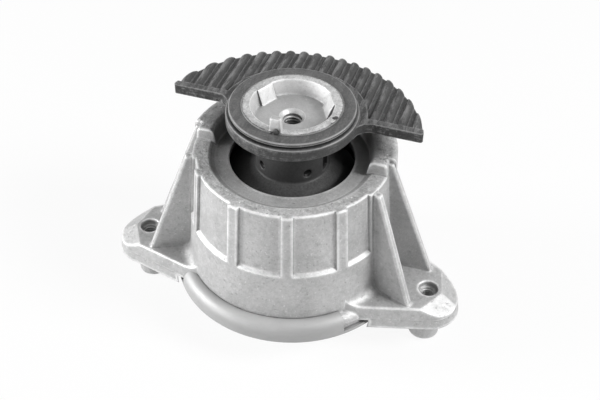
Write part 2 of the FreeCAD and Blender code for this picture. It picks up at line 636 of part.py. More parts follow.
def flap_plan(top):
    """The flap's plan as a solid up to a height: a part disc, cut straight, swept into the ring."""
    height = top - CAP_BOTTOM_Z
    disc = drill(FLAP_R, CAP_BOTTOM_Z, top, FLAP_CENTRE)
    disc = disc.cut(box((-BIG, -BIG, 0.0), (BIG, FLAP_FRONT_Y, BIG)))
    corners = [e for e in disc.Edges
               if abs(e.BoundBox.ZLength - height) < TOL and e.BoundBox.YMax < FLAP_FRONT_Y + TOL]
    disc = disc.makeFillet(FLAP_CORNER, corners)
    fillet_y = FLAP_FRONT_Y - FLAP_FILLET
    fillet_x = math.sqrt((CAP_BODY_R + FLAP_FILLET) ** 2 - fillet_y ** 2)
    web = box((-fillet_x, fillet_y, CAP_BOTTOM_Z), (fillet_x, FLAP_FRONT_Y + EMBED, top))
    for side in (-1.0, 1.0):
        web = web.cut(drill(FLAP_FILLET, CAP_BOTTOM_Z - CUT, top + CUT, (side * fillet_x, fillet_y)))
    inside = drill(CAP_BODY_R + FLAP_FILLET, CAP_BOTTOM_Z, top)
    return disc.fuse(web.common(inside))


def flap():
    """The flap's plate with its row of rounded ribs, which end in a raised border."""
    crest_z = FLAP_TROUGH_Z + RIB_HEIGHT
    rib_r = (RIB_WIDTH ** 2 / 4.0 + RIB_HEIGHT ** 2) / (2.0 * RIB_HEIGHT)
    low_y = FLAP_FRONT_Y + RIB_BORDER
    full = flap_plan(crest_z)
    edge = [(-BIG, CAP_BOTTOM_Z), (low_y, CAP_BOTTOM_Z), (low_y + RIB_HEIGHT, FLAP_TROUGH_Z),
            (low_y, crest_z), (-BIG, crest_z)]
    profile = [FreeCAD.Vector(-BIG, y, z) for y, z in edge]
    strip = Part.Face(Part.makePolygon(profile + profile[:1])).extrude(FreeCAD.Vector(2.0 * BIG, 0, 0))
    collar = drill(CAP_BODY_R + RIB_BORDER, CAP_BOTTOM_Z, crest_z)
    plate = flap_plan(FLAP_TROUGH_Z).fuse(strip.common(full)).fuse(collar.common(full))
    field = flap_plan(crest_z + CUT)
    field = field.cut(box((-BIG, -BIG, 0.0), (BIG, low_y, BIG)))
    half_chord = math.sqrt(FLAP_R ** 2 - (low_y + RIB_BORDER - FLAP_CENTRE[1]) ** 2)
    first = -int((FLAP_R + RIB_OFFSET_X) / RIB_PITCH)
    last = int((FLAP_R - RIB_OFFSET_X) / RIB_PITCH)
    for k in range(first, last + 1):
        x = RIB_OFFSET_X + k * RIB_PITCH
        if abs(x - FLAP_CENTRE[0]) > half_chord:
            continue
        rod = Part.makeCylinder(rib_r, FLAP_R, FreeCAD.Vector(x, low_y, crest_z - rib_r),
                                FreeCAD.Vector(0, 1, 0))
        plate = plate.fuse(rod.common(field))
    return plate.removeSplitter()


def buffer_cap():
    """Ring and flap together, with the core's room left open."""
    room = drill(CAP_GROOVE_R, CAP_BOTTOM_Z - CUT, CAP_TOP_Z + CUT)
    cap = flap().cut(room).fuse(cap_ring())
    cap.rotate(FreeCAD.Vector(0, 0, 0), FreeCAD.Vector(0, 0, 1), FLAP_TURN)
    return cap


# ------------------------------------------------------------------ main spring and its ring
def main_spring():
    """Rubber cone between core and outer ring, with the sleeve up the neck and the bumper."""
    gap = BOND_GAP
    top = SLEEVE_TOP_Z
    shoulder_in = SHOULDER_Z - SHOULDER_THICKNESS
    f = SLEEVE_FILLET
    b = BUMPER_ROUND
    edges = [
        line((NECK_R + gap, top), (SLEEVE_R, top)),
        line((SLEEVE_R, top), (SLEEVE_R, SLEEVE_BASE_Z + f)),
        arc((SLEEVE_R + f, SLEEVE_BASE_Z + f), f, 180.0, 270.0),
        line((SLEEVE_R + f, SLEEVE_BASE_Z), (BUMPER_R - b, BUMPER_Z)),
        arc((BUMPER_R - b, BUMPER_Z - b), b, 90.0, 0.0),
        line((BUMPER_R, BUMPER_Z - b), (SPRING_GROOVE_R, SPRING_GROOVE_Z)),
        line((SPRING_GROOVE_R, SPRING_GROOVE_Z), (RING_INNER_R, RING_TOP_Z)),
        line((RING_INNER_R, RING_TOP_Z), (RING_INNER_R, RING_BOTTOM_Z + SPRING_EDGE)),
        line((RING_INNER_R, RING_BOTTOM_Z + SPRING_EDGE), (SHOULDER_R, CORE_FOOT_Z)),
        line((SHOULDER_R, CORE_FOOT_Z), (CORE_FOOT_R + gap, CORE_FOOT_Z)),
        line((CORE_FOOT_R + gap, CORE_FOOT_Z), (SHOULDER_R + gap, shoulder_in)),
        line((SHOULDER_R + gap, shoulder_in), (SHOULDER_R + gap, SHOULDER_Z + gap)),
        line((SHOULDER_R + gap, SHOULDER_Z + gap), (NECK_R + gap, SHOULDER_Z + SHOULDER_THICKNESS + gap)),
        line((NECK_R + gap, SHOULDER_Z + SHOULDER_THICKNESS + gap), (NECK_R + gap, top)),
    ]
    body = turned_edges(edges)
    cuts = []
    for angle in SLEEVE_HOLE_ANGLES:
        start = radial(angle) * (SLEEVE_R - SLEEVE_HOLE_DEPTH) + FreeCAD.Vector(0, 0, SLEEVE_HOLE_Z)
        cuts.append(Part.makeCylinder(SLEEVE_HOLE_R, SLEEVE_HOLE_DEPTH * 2.0, start, radial(angle)))
    slot = box((SLEEVE_R - SLEEVE_SLOT_DEPTH, -SLEEVE_SLOT_WIDTH / 2.0, SLEEVE_BASE_Z + f),
               (SLEEVE_R + CUT, SLEEVE_SLOT_WIDTH / 2.0, top - SLEEVE_SLOT_DEPTH))
    slot.rotate(FreeCAD.Vector(0, 0, 0), FreeCAD.Vector(0, 0, 1), SLEEVE_SLOT_ANGLE - 90.0)
    cuts.append(slot)
    return body.cut(cuts)


def spring_outer_ring():
    """Metal ring bonded round the spring and pressed into the housing."""
    return turned([
        (RING_INNER_R, RING_BOTTOM_Z),
        (STACK_R, RING_BOTTOM_Z),
        (STACK_R, RING_TOP_Z),
        (RING_INNER_R, RING_TOP_Z),
    ])


# ------------------------------------------------------------------ fluid stack
def ring_band(mid_r, width, bottom, top):
    """A plain ring about the axis."""
    return turned([
        (mid_r - width / 2.0, bottom),
        (mid_r + width / 2.0, bottom),
        (mid_r + width / 2.0, top),
        (mid_r - width / 2.0, top),
    ])


def cage_holes(bottom, top):
    """The round holes that let the fluid reach the decoupler disc."""
    holes = [drill(CAGE_HOLE_R, bottom, top)]
    for i in range(CAGE_HOLES):
        a = 2.0 * math.pi * i / CAGE_HOLES
        centre = (CAGE_HOLE_PCR * math.cos(a), CAGE_HOLE_PCR * math.sin(a))
        holes.append(drill(CAGE_HOLE_R, bottom, top, centre))
    return holes


def channel_port(start, bottom, top):
    """An opening into one end of the annular channel."""
    port = ring_band(CHANNEL_R, CHANNEL_WIDTH, bottom, top)
    return port.common(sector(start, start + PORT_SPAN, bottom - CUT, top + CUT))


def lower_channel_plate():
    """Plate with the annular channel, the decoupler's seat and the lower port."""
    body = drill(STACK_R, PLATE_BOTTOM_Z, PLATE_JOINT_Z)
    groove = ring_band(CHANNEL_R, CHANNEL_WIDTH, PLATE_JOINT_Z - CHANNEL_DEPTH, PLATE_JOINT_Z + CUT)
    groove = groove.common(sector(CHANNEL_SPAN[0], CHANNEL_SPAN[1], PLATE_BOTTOM_Z, PLATE_JOINT_Z + BIG))
    seat_depth = DECOUPLER_THICKNESS + 2.0 * DECOUPLER_PLAY
    seat = drill(DECOUPLER_R + DECOUPLER_PLAY, PLATE_JOINT_Z - seat_depth, PLATE_JOINT_Z + CUT)
    port = channel_port(CHANNEL_SPAN[1] - PORT_SPAN, PLATE_BOTTOM_Z - CUT, PLATE_JOINT_Z)
    return body.cut([groove, seat, port] + cage_holes(PLATE_BOTTOM_Z - CUT, PLATE_JOINT_Z))


def upper_channel_plate():
    """Cover plate with the upper port and the cage's upper holes."""
    body = drill(STACK_R, PLATE_JOINT_Z, RING_BOTTOM_Z)
    port = channel_port(CHANNEL_SPAN[0], PLATE_JOINT_Z - CUT, RING_BOTTOM_Z + CUT)
    return body.cut([port] + cage_holes(PLATE_JOINT_Z - CUT, RING_BOTTOM_Z + CUT))


def decoupler_disc():
    """Loose rubber disc in the cage between the two plates."""
    seat_bottom = PLATE_JOINT_Z - DECOUPLER_THICKNESS - 2.0 * DECOUPLER_PLAY
    return drill(DECOUPLER_R, seat_bottom, seat_bottom + DECOUPLER_THICKNESS)


def clamp_ring_heights():
    """Bottom and top of the steel ring held in the bellows' bead."""
    middle = SEAT_Z + BEAD_THICKNESS / 2.0
    return middle - CLAMP_RING_THICKNESS / 2.0, middle + CLAMP_RING_THICKNESS / 2.0


def bellows():
    """Rubber diaphragm: a thick bead under the plates and a thin fold hanging in the pan."""
    low, high = clamp_ring_heights()
    groove_r = STACK_R - CLAMP_RING_WIDTH
    neck_r = PAN_TOP_R - SHEET - BELLOWS_PAN_GAP
    throat_r = neck_r - BELLOWS_SHOULDER
    fold_in = BELLOWS_FOLD_R - BELLOWS_FOLD_WIDTH / 2.0
    fold_out = BELLOWS_FOLD_R + BELLOWS_FOLD_WIDTH / 2.0
    throat_z = SEAT_Z - BELLOWS_SHOULDER
    w = BELLOWS_WALL
    corners = [
        (STACK_R, PLATE_BOTTOM_Z),
        (STACK_R, high),
        (groove_r, high),
        (groove_r, low),
        (STACK_R, low),
        (STACK_R, SEAT_Z),
        (neck_r, SEAT_Z),
        (throat_r, throat_z),
        (fold_out, BELLOWS_FOLD_Z),
        (fold_in, BELLOWS_FOLD_Z - w),
        (BELLOWS_FOLD_R / 2.0, BELLOWS_CROWN_Z - w),
        (0.0, BELLOWS_CROWN_Z),
        (0.0, BELLOWS_CROWN_Z + w),
        (BELLOWS_FOLD_R / 2.0, BELLOWS_CROWN_Z),
        (fold_in, BELLOWS_FOLD_Z),
        (fold_out - w, BELLOWS_FOLD_Z + w),
        (throat_r - w, throat_z),
        (neck_r - w, SEAT_Z + w),
        (BEAD_INNER_R, PLATE_BOTTOM_Z),
    ]
    return turned(corners)


def bellows_clamp_ring():
    """Steel ring in the bellows' bead."""
    low, high = clamp_ring_heights()
    return ring_band(STACK_R - CLAMP_RING_WIDTH / 2.0, CLAMP_RING_WIDTH, low, high)


# ------------------------------------------------------------------ base cup
def base_cup():
    """Drawn sheet cup: flat pan, flange under the housing and a lip crimped over its flange."""
    s = SHEET
    b = PAN_BEND
    under = SEAT_Z - s
    lip_outer_r = CRIMP_CENTRE_R + CRIMP_R
    pan = turned_edges([
        line((0.0, 0.0), (PAN_R - b, 0.0)),
        arc((PAN_R - b, b), b, -90.0, 0.0),
        line((PAN_R, b), (PAN_TOP_R, under)),
        line((PAN_TOP_R, under), (FLANGE_R, under)),
        line((FLANGE_R, under), (FLANGE_R, SEAT_Z)),
        line((FLANGE_R, SEAT_Z), (PAN_TOP_R - s, SEAT_Z)),
        line((PAN_TOP_R - s, SEAT_Z), (PAN_R - s, b)),
        arc((PAN_R - b, b), b - s, 0.0, -90.0),
        line((PAN_R - b, s), (0.0, s)),
        line((0.0, s), (0.0, 0.0)),
    ])
    lip = turned_edges([
        line((FLANGE_R - s, under), (lip_outer_r - s, under)),
        arc((lip_outer_r - s, SEAT_Z), s, -90.0, 0.0),
        line((lip_outer_r, SEAT_Z), (lip_outer_r, CRIMP_CENTRE_Z)),
        arc((CRIMP_CENTRE_R, CRIMP_CENTRE_Z), CRIMP_R, 0.0, 90.0),
        line((CRIMP_CENTRE_R, CRIMP_CENTRE_Z + CRIMP_R), (CRIMP_CENTRE_R, CRIMP_CENTRE_Z + CRIMP_R - s)),
        arc((CRIMP_CENTRE_R, CRIMP_CENTRE_Z), CRIMP_R - s, 90.0, 0.0),
        line((FLANGE_R, CRIMP_CENTRE_Z), (FLANGE_R, SEAT_Z)),
        line((FLANGE_R, SEAT_Z), (FLANGE_R - s, SEAT_Z)),
        line((FLANGE_R - s, SEAT_Z), (FLANGE_R - s, under)),
    ])
    flange = drill(lip_outer_r, under, SEAT_Z).cut(drill(FLANGE_R - s, 0.0, RIM_Z))
    body = pan.fuse(flange)
    for start, end in CRIMP_SPANS:
        body = body.fuse(lip.common(sector(start, end, 0.0, RIM_Z)))
    return body.cut(drill(VENT_R, -CUT, s + CUT, (0.0, VENT_Y)))


NODES = {
    "housing": housing,
    "core": core,
    "buffer_cap": buffer_cap,
    "main_spring": main_spring,
    "spring_outer_ring": spring_outer_ring,
    "upper_channel_plate": upper_channel_plate,
    "lower_channel_plate": lower_channel_plate,
    "decoupler_disc": decoupler_disc,
    "bellows": bellows,
    "bellows_clamp_ring": bellows_clamp_ring,
    "base_cup": base_cup,
}

for node_name, maker in NODES.items():
    save(node_name, maker())
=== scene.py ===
"""Looks of a hydraulic engine mount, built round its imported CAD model. Blender's lengths are metres.
Sizes of the part's own pieces are written in mm and multiplied by MM where a mesh is made."""

import json
import math

import bpy
import numpy as np
from mathutils import Matrix, Vector


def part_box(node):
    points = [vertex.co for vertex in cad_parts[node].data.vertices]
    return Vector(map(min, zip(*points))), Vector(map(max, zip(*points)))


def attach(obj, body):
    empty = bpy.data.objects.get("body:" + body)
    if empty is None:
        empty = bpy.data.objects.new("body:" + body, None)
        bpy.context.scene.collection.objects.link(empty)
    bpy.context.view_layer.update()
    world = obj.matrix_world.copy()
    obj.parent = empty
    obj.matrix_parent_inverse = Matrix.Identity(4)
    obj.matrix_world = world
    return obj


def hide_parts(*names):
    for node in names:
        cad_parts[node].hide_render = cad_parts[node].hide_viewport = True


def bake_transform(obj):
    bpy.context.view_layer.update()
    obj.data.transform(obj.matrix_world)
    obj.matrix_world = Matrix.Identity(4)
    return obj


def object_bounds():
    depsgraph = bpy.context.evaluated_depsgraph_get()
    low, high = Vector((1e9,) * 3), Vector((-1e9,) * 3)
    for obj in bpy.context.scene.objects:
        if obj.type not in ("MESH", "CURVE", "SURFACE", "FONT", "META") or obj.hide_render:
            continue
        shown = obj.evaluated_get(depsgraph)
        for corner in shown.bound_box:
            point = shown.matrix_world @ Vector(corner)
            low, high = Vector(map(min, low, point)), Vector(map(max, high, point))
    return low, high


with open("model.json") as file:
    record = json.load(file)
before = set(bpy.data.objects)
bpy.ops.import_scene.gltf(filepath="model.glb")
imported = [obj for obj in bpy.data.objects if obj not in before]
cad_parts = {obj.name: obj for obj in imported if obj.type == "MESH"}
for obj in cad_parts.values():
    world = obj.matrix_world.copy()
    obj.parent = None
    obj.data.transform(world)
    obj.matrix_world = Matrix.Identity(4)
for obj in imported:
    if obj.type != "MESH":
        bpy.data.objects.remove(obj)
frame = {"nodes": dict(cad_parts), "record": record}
cad_low, cad_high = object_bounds()
nodes = frame["nodes"]
mounts = {m["name"]: m for m in frame["record"]["mounts"]}
MM = 0.001

# ---------------------------------------------------------------- sizes of the pieces, in mm
CORE_TOP_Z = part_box("core")[1].z / MM
CAP_LOW_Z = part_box("buffer_cap")[0].z / MM

# Main spring: its section as (radius, height, corner radius), how far inside the sleeve's radius the
# skin still belongs to it, the spacing of points along the section, and their number round the axis
SLEEVE_R = 16.5
SLEEVE_FOOT_Z = 80.0
SPRING_SKIN = [
    (14.9, 100.0, 0.2),
    (SLEEVE_R, 100.2, 0.5),
    (SLEEVE_R, SLEEVE_FOOT_Z, 1.5),
    (29.9, 73.2, 3.0),
    (32.0, 69.0, 1.5),
    (36.5, 58.0, 1.2),
    (41.4, 60.0, 0.1),
    (41.4, 57.4, 0.1),
    (36.4, 55.4, 1.0),
    (34.2, 57.6, 1.0),
    (29.4, 69.4, 1.0),
    (27.6, 71.0, 1.0),
    (18.2, 76.2, 1.0),
    (14.9, 77.8, 0.2),
]
SLEEVE_SKIN = 0.6
SPRING_STEP = 0.25
SPRING_ROUND = 480

# Heights between which the spring's skin passes from the frame to the core
BLEND_END_Z = 79.0

# Holes left by the mould's pins in the sleeve, as (angle in degrees, height), each in a dimple.
# Their shade starts at HOLE_DIM_DEPTH under the sleeve's surface and is full at HOLE_DARK_DEPTH
PIN_HOLES = [(-38.2, 84.8), (42.0, 84.5)]
PIN_HOLE_R = 1.8
PIN_HOLE_DEPTH = 1.1
PIN_HOLE_EDGE = 0.08
DIMPLE_R = 2.7
DIMPLE_DEPTH = 0.45
HOLE_DIM_DEPTH = 0.2
HOLE_DARK_DEPTH = 0.45

# Upright recess in the sleeve, with the softness of its sides and of its ends
RECESS_ANGLE = 83.0
RECESS_WIDTH = 5.2
RECESS_DEPTH = 1.3
RECESS_BOTTOM_Z = 81.5
RECESS_TOP_Z = 98.0
RECESS_SIDE_EDGE = 0.12
RECESS_END_EDGE = 0.2

# Ribbed flap: where its ribs start from the axis, and the heights of their troughs and crests, between
# which painted shade deepens towards the troughs
RIB_FIELD_R = 29.0
RIB_TROUGH_Z = CAP_LOW_Z + 3.2
RIB_CREST_Z = CAP_LOW_Z + 4.7

# Arrises of the cap's lip and of its body under the groove, lighter partly from dust and partly as a
# painted highlight, as (distance from the axis, height)
CAP_ARRISES = [(28.0, CAP_LOW_Z + 8.5), (29.4, CAP_LOW_Z + 5.9)]

# Threads: pitch and depth of the turns
CORE_PITCH = 1.5
CORE_THREAD_DEPTH = 0.62
FOOT_PITCH = 1.25
FOOT_THREAD_DEPTH = 0.42

# A turn: points along it, half widths of its crest and root in pitches, how deep its root and its
# back lie in the hole's wall, and the share of its height that is left at the thread's ends
TURN_POINTS = 56
CREST_HALF = 0.1
ROOT_HALF = 0.46
ROOT_SINK = 0.04
BACK_SINK = 0.2
END_SHARE = 0.02

# Rim of the core, below the tab that stands on it
RIM_R = 22.1
TAB_HEIGHT = 6.6
RIM_TOP_Z = CORE_TOP_Z - TAB_HEIGHT

# Rubber flash over the rim's outer edge: its mean and least reach inwards, the waves of its inner
# edge as (turns, height), and its section as (share of the reach or mm outwards, height)
FLASH_REACH = 0.35
FLASH_LEAST = 0.05
FLASH_WAVES = [(5, 0.1), (13, 0.08), (31, 0.07), (67, 0.07), (131, 0.06)]
FLASH_SECTION = [(-0.5, -0.42), (0.0, 0.1), (0.75, 0.09), (1.0, 0.03), (1.0, -0.05), (-0.5, -0.5)]
FLASH_ROUND = 900
FLASH_SEED = 7

# Stray drops of rubber on the rim: name, angle in degrees, distance from the axis, length, width,
# height, and the seed of its outline. Then their section, as shares of radius and height, and the
# waves of their outline
RUBBER_SPOTS = [
    ("rubber_spot_right", 78.4, 20.9, 2.5, 2.4, 0.3, 3),
    ("rubber_spot_tab", -0.8, 22.0, 2.7, 1.4, 2.1, 5),
    ("rubber_spot_small", -6.2, 22.4, 1.0, 0.9, 0.4, 9),
    ("rubber_spot_front", 67.3, 21.7, 0.8, 0.7, 0.25, 4),
]
SPOT_SECTION = [(0.001, 1.0), (0.35, 0.93), (0.65, 0.73), (0.88, 0.4), (1.0, 0.07), (1.0, -0.27)]
SPOT_WAVES = [(2, 0.12), (3, 0.1), (5, 0.06)]
SPOT_ROUND = 40

# Castings: the heights between which the housing's and the core's top faces are coarse, the feet's
# parting line with its half width and the distance from the axis where it starts, and the distance
# within which the bell's inside lies in deep shade
COARSE_TOP = (84.0, 91.5)
CORE_COARSE_TOP = (111.2, 112.0)
PARTING_Z = 22.5
PARTING_HALF = 0.12
PARTING_START_R = 53.0
SHADE_R = 39.0


# ---------------------------------------------------------------- shapes
def surface(name, points, close_rows=False, close_columns=False, smooth=True):
    """A mesh over a grid of points with shape (rows, columns, 3), in metres. Either way round the
    grid may close on itself. Its faces are turned outwards by the sign of the enclosed volume."""
    rows, columns = points.shape[:2]
    index = np.arange(rows * columns).reshape(rows, columns)
    if close_rows:
        index = np.vstack([index, index[:1]])
    if close_columns:
        index = np.hstack([index, index[:, :1]])
    corners = [index[:-1, :-1], index[:-1, 1:], index[1:, 1:], index[1:, :-1]]
    quads = np.stack(corners, -1).reshape(-1, 4)
    flat = points.reshape(-1, 3)
    a, b, c, d = (flat[quads[:, k]] for k in range(4))
    volume = np.einsum("ij,ij->", a, np.cross(b, c)) + np.einsum("ij,ij->", a, np.cross(c, d))
    if volume < 0:
        quads = quads[:, ::-1]
    mesh = bpy.data.meshes.new(name)
    mesh.from_pydata(flat.tolist(), [], quads.tolist())
    if smooth:
        mesh.shade_smooth()
    mesh.update()
    piece = bpy.data.objects.new(name, mesh)
    bpy.context.scene.collection.objects.link(piece)
    return piece


def rounded(corners, steps=7):
    """A closed outline through (r, z, corner radius) corners: each corner is swapped for the arc
    that touches both of its sides, cut down to fit where a side is short."""
    most_of_side = 0.48
    corners = np.array(corners, float)
    here = corners[:, :2]
    back = np.roll(here, 1, 0) - here
    ahead = np.roll(here, -1, 0) - here
    back_length = np.linalg.norm(back, axis=1)
    ahead_length = np.linalg.norm(ahead, axis=1)
    back /= back_length[:, None]
    ahead /= ahead_length[:, None]
    half = np.arccos(np.clip((back * ahead).sum(1), -1, 1)) / 2
    room = most_of_side * np.minimum(back_length, ahead_length)
    reach = np.minimum(corners[:, 2] / np.tan(half), room)
    radius = reach * np.tan(half)
    inward = back + ahead
    inward /= np.maximum(np.linalg.norm(inward, axis=1), 1e-9)[:, None]
    centre = here + inward * (radius / np.sin(half))[:, None]
    start = here + back * reach[:, None] - centre
    end = here + ahead * reach[:, None] - centre
    t = np.linspace(0, 1, steps)[None, :, None]
    way = start[:, None] * (1 - t) + end[:, None] * t
    way *= radius[:, None, None] / np.maximum(np.linalg.norm(way, axis=2, keepdims=True), 1e-9)
    return (centre[:, None] + way).reshape(-1, 2)


def spaced(outline, step):
    """The same closed outline with points added so that none lies further than step from the next."""
    ahead = np.roll(outline, -1, 0)
    length = np.linalg.norm(ahead - outline, axis=1)
    count = np.maximum(np.ceil(length / step).astype(int), 1)
    start = np.repeat(np.arange(len(outline)), count)
    first = np.repeat(np.cumsum(count) - count, count)
    t = ((np.arange(count.sum()) - first) / count[start])[:, None]
    return outline[start] * (1 - t) + ahead[start] * t


def polar(r, angle, z, centre=(0.0, 0.0)):
    """Points from radius, angle from the front (-Y) towards +X in radians, and height, all in mm."""
    x = centre[0] + r * np.sin(angle)
    y = centre[1] - r * np.cos(angle)
    return np.stack([x, y, z + 0 * r], -1) * MM


def full_turn(count):
    """count angles that go once round, from -pi up to the step before pi."""
    return np.linspace(-math.pi, math.pi, count, endpoint=False)


def soft_step(value, soft):
    """0 well below zero and 1 well above it, as the logistic curve of value over soft."""
    return 1 / (1 + np.exp(-np.clip(value / soft, -30, 30)))


def ripple(angle, seed, waves):
    """A ragged line round a circle: a sum of sine waves of (turns, height) with seeded phases."""
    rng = np.random.default_rng(seed)
    phases = rng.uniform(0, 2 * math.pi, len(waves))
    return sum(h * np.sin(n * angle + p) for (n, h), p in zip(waves, phases))


def spring():
    """The rubber's visible skin, turned about the axis from its rounded section. The sleeve's radius
    is lowered by a hole in a shallow dimple at each pin and by one upright recess with soft edges."""
    outline = spaced(rounded(SPRING_SKIN), SPRING_STEP)
    angle = full_turn(SPRING_ROUND)
    r, a = np.meshgrid(outline[:, 0], angle, indexing="ij")
    z = np.repeat(outline[:, 1][:, None], len(angle), 1)
    on_sleeve = (r > SLEEVE_R - SLEEVE_SKIN) & (z > BLEND_END_Z)
    for degrees, height in PIN_HOLES:
        across = (a - math.radians(degrees)) * SLEEVE_R
        away = np.hypot(across, z - height)
        r = r - on_sleeve * PIN_HOLE_DEPTH * soft_step(PIN_HOLE_R - away, PIN_HOLE_EDGE)
        r = r - on_sleeve * DIMPLE_DEPTH * np.clip(1 - (away / DIMPLE_R) ** 2, 0, 1)
    across = np.abs(a - math.radians(RECESS_ANGLE)) * SLEEVE_R
    beside = soft_step(RECESS_WIDTH / 2 - across, RECESS_SIDE_EDGE)
    above = soft_step(z - RECESS_BOTTOM_Z, RECESS_END_EDGE)
    below = soft_step(RECESS_TOP_Z - z, RECESS_END_EDGE)
    r = r - on_sleeve * RECESS_DEPTH * beside * above * below
    piece = surface("spring_rubber_skin", polar(r, a, z), close_rows=True, close_columns=True)
    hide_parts("main_spring")
    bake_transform(piece)
    return piece


def thread(name, body, mount, pitch, depth):
    """The turns inside a tapped hole: one ridge with a flat crest, carried along a helix on the
    hole's wall. Its height fades to nothing over the first and the last half turn."""
    record = mounts[mount]
    centre = np.array(record["pos_m"]) / MM
    hole_r = record["dims"]["r_mm"]
    half_length = record["dims"]["length_mm"] / 2 - 0.5 * pitch
    turns = 2 * half_length / pitch
    count = int(turns * TURN_POINTS)
    angle = np.linspace(0, turns * 2 * math.pi, count)
    rise = np.linspace(-half_length, half_length, count)
    fade = np.clip(np.minimum(angle, angle[-1] - angle) / math.pi, END_SHARE, 1)
    along = np.array([-ROOT_HALF, -CREST_HALF, CREST_HALF, ROOT_HALF, ROOT_HALF, -ROOT_HALF]) * pitch
    inward = np.array([-ROOT_SINK, depth, depth, -ROOT_SINK, -BACK_SINK, -BACK_SINK])[:, None]
    r = hole_r - np.where(inward > 0, inward * fade, inward)
    z = centre[2] + rise[None] + along[:, None]
    piece = surface(name, polar(r, angle[None] + 0 * r, z, centre[:2]), close_rows=True, smooth=False)
    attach(piece, body)
    return piece


def rim_flash():
    """A thin film of rubber over the outer edge of the core's rim. Its inner edge wanders in and out
    by a sum of sine waves, and its section is a flat bead 0.1 mm above the metal."""
    angle = full_turn(FLASH_ROUND)
    reach = np.maximum(FLASH_REACH + ripple(angle, FLASH_SEED, FLASH_WAVES), FLASH_LEAST)
    inward, height = np.array(FLASH_SECTION).T[:, :, None]
    r = RIM_R - np.where(inward > 0, inward * reach, inward)
    z = RIM_TOP_Z + height + 0 * r
    points = polar(r, angle[None] + 0 * r, z)
    piece = surface("rim_rubber_flash", points, close_rows=True, close_columns=True)
    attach(piece, "core")
    return piece


def rubber_spot(name, angle, r, length, width, height, seed):
    """A drop of stray rubber on the rim: a dome of the given height over a ragged oval outline, whose
    length lies along the rim."""
    turn = full_turn(SPOT_ROUND)
    ring, lift = np.array(SPOT_SECTION).T[:, :, None]
    edge = 1 + ripple(turn, seed, SPOT_WAVES)
    x = ring * edge * np.cos(turn) * length / 2
    y = ring * edge * np.sin(turn) * width / 2
    a = math.radians(angle)
    out = np.array([math.sin(a), -math.cos(a)])
    along = np.array([math.cos(a), math.sin(a)])
    points = np.stack([
        out[0] * r + x * along[0] + y * out[0],
        out[1] * r + x * along[1] + y * out[1],
        RIM_TOP_Z + lift * height + 0 * x,
    ], -1) * MM
    piece = surface(name, points, close_columns=True)
    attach(piece, "core")
    return piece


